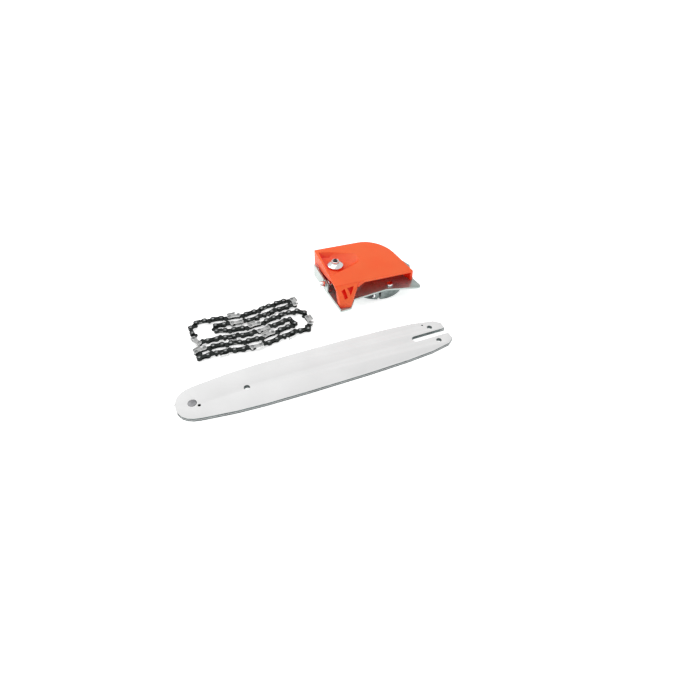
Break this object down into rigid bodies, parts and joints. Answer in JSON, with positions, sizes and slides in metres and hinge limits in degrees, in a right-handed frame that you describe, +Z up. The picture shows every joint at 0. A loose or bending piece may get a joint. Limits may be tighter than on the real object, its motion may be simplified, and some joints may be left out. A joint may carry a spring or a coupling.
{
  "type": "chainsaw head kit",
  "caption": "Kit of a covered saw head with clamp ring, a guide bar with a sprocket nose and a low-profile saw chain, laid out apart.",
  "frame": {"origin": "centre of the kit's bounding box, on the surface that the bar, the chain and the clamp ring lie on", "axes": "+X along the guide bar from its nose to its tail, +Y from the bar towards the chain and the head, +Z up"},
  "size_m": [0.3094, 0.1744, 0.0472],
  "materials": {
    "orange_plastic": "satin moulded plastic",
    "plated_plate": "grey-green zinc plated sheet",
    "silver_paint": "light silver paint",
    "dark_steel": "black oxide",
    "sintered_steel": "sintered, matt",
    "blued_steel": "blued, oiled",
    "bright_steel": "bright zinc"
  },
  "bodies": {
    "head": {"bracket_plate": "plated_plate", "clamp_ring": "plated_plate", "ring_screw_1": "bright_steel", "ring_screw_2": "bright_steel", "ring_screw_3": "bright_steel", "pinch_washer": "bright_steel", "bar_stud": "dark_steel", "bar_pad": "sintered_steel"},
    "pinch_bolt": {"pinch_bolt": "dark_steel"},
    "tension_screw": {"tension_screw": "bright_steel", "tension_screw_collar": "bright_steel"},
    "tension_block": {"tension_block": "sintered_steel", "tension_pin": "bright_steel"},
    "cover": {"cover": "orange_plastic"},
    "flange_washer": {"flange_washer": "bright_steel"},
    "bar_nut": {"bar_nut": "bright_steel"},
    "guide_bar": {"bar_lower_rail": "silver_paint", "bar_core": "silver_paint", "bar_upper_rail": "silver_paint", "nose_hub": "bright_steel"},
    "nose_sprocket": {"nose_sprocket": "blued_steel"},
    "saw_chain": {"chain_section_01_left": "blued_steel", "chain_section_02_right": "blued_steel", "chain_section_03_left": "blued_steel", "chain_section_04_right": "blued_steel", "chain_section_05_left": "blued_steel", "chain_section_06_right": "blued_steel", "chain_section_07_left": "blued_steel", "chain_section_08_right": "blued_steel", "chain_section_09_left": "blued_steel", "chain_section_10_right": "blued_steel", "chain_section_11_left": "blued_steel", "chain_section_12_right": "blued_steel", "chain_section_13_left": "blued_steel", "chain_section_14_right": "blued_steel", "chain_section_15_left": "blued_steel", "chain_section_16_right": "blued_steel", "chain_section_17_left": "blued_steel", "chain_section_18_right": "blued_steel", "chain_section_19_left": "blued_steel", "chain_section_20_right": "blued_steel"}
  },
  "joints": [
    {"name": "pinch_bolt_turn", "type": "hinge", "parent": "head", "child": "pinch_bolt", "pos_m": [0.0957, 0.02385, 0.0088], "axis": [1, 0, 0], "range_deg": [0, 720]},
    {"name": "tension_screw_turn", "type": "hinge", "parent": "head", "child": "tension_screw", "pos_m": [0.0607, 0.04375, 0.0245], "axis": [-1, 0, 0], "range_deg": [0, 4500]},
    {"name": "tension_block_slide", "type": "slide", "parent": "head", "child": "tension_block", "axis": [1, 0, 0], "range_m": [0, 0.01]},
    {"name": "cover_lift", "type": "slide", "parent": "head", "child": "cover", "axis": [0, 0, 1], "range_m": [0, 0.06]},
    {"name": "washer_rise", "type": "slide", "parent": "cover", "child": "flange_washer", "axis": [0, 0, 1], "range_m": [0, 0.005]},
    {"name": "bar_nut_turn", "type": "hinge", "parent": "flange_washer", "child": "bar_nut", "pos_m": [0.0577, 0.05465, 0.044], "axis": [0, 0, 1], "range_deg": [0, 1800]},
    {"name": "guide_bar_lift", "type": "slide", "parent": "head", "child": "guide_bar", "axis": [0, 0, 1], "range_m": [0, 0.08]},
    {"name": "nose_sprocket_spin", "type": "hinge", "parent": "guide_bar", "child": "nose_sprocket", "pos_m": [-0.1378, -0.05935, 0.00213], "axis": [0, 0, 1], "continuous": true},
    {"name": "saw_chain_lift", "type": "slide", "parent": "head", "child": "saw_chain", "axis": [0, 0, 1], "range_m": [0, 0.08]}
  ],
  "couplings": [
    {"joint": "tension_screw_turn", "follows": "tension_block_slide", "rad_per_m": 7854},
    {"joint": "bar_nut_turn", "follows": "washer_rise", "rad_per_m": 6283.2}
  ]
}
